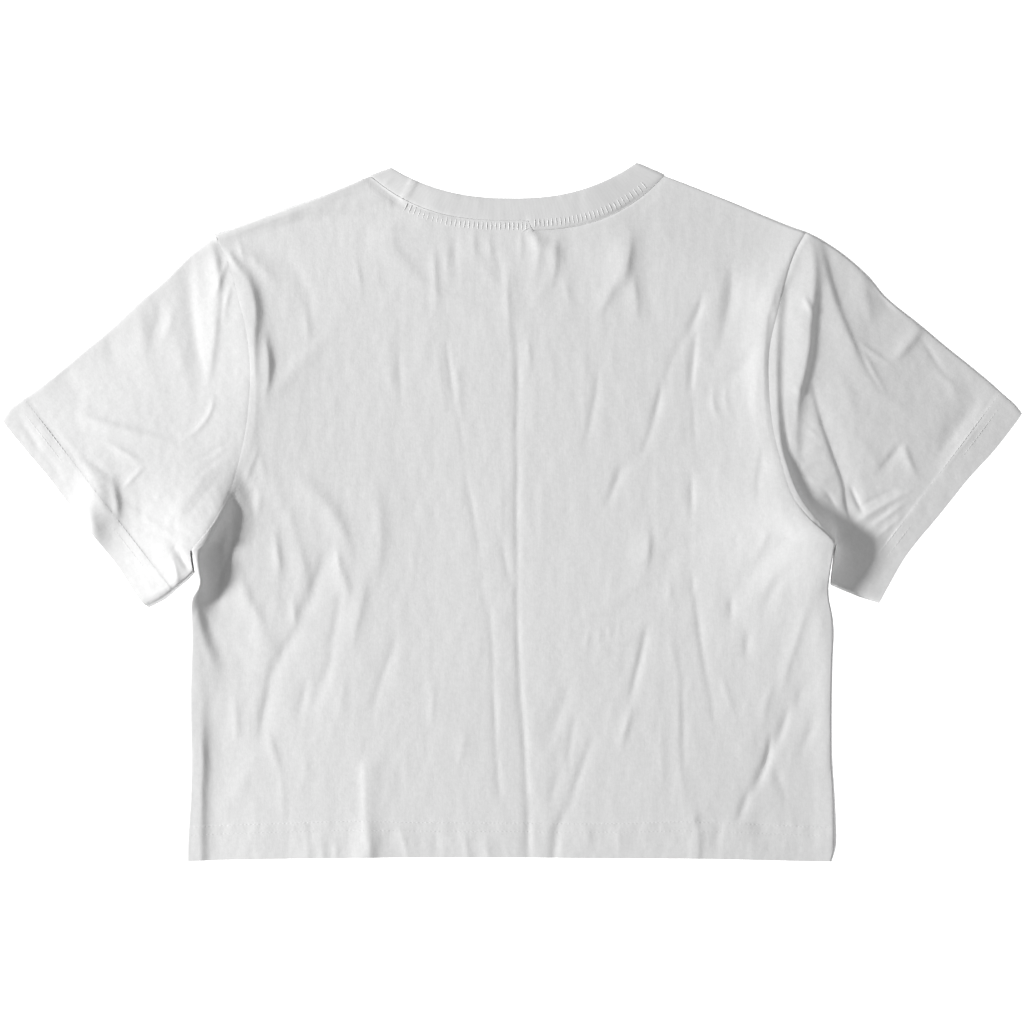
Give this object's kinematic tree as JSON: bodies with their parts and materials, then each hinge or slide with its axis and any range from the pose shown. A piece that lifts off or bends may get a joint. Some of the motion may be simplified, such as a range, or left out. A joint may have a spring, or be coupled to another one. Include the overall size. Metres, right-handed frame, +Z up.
{
  "type": "crop top",
  "caption": "Short, boxy T-shirt with dropped short sleeves and a round ribbed neck, laid flat with its back up.",
  "frame": {"origin": "on the surface that the garment lies on, under the middle of its box", "axes": "+X towards the wearer's right across both sleeves, +Y from the hem to the neck, +Z up through the layers"},
  "size_m": [0.7308, 0.501, 0.0122],
  "materials": {
    "jersey": "matt cotton jersey with fine vertical wales and a slight nap",
    "rib": "matt cotton rib knit, doubled",
    "thread": "matt spun polyester sewing thread, colour matched"
  },
  "bodies": {
    "root": {"front": "jersey", "back": "jersey", "sleeve_left": "jersey", "sleeve_right": "jersey", "neckband": "rib"}
  },
  "joints": []
}
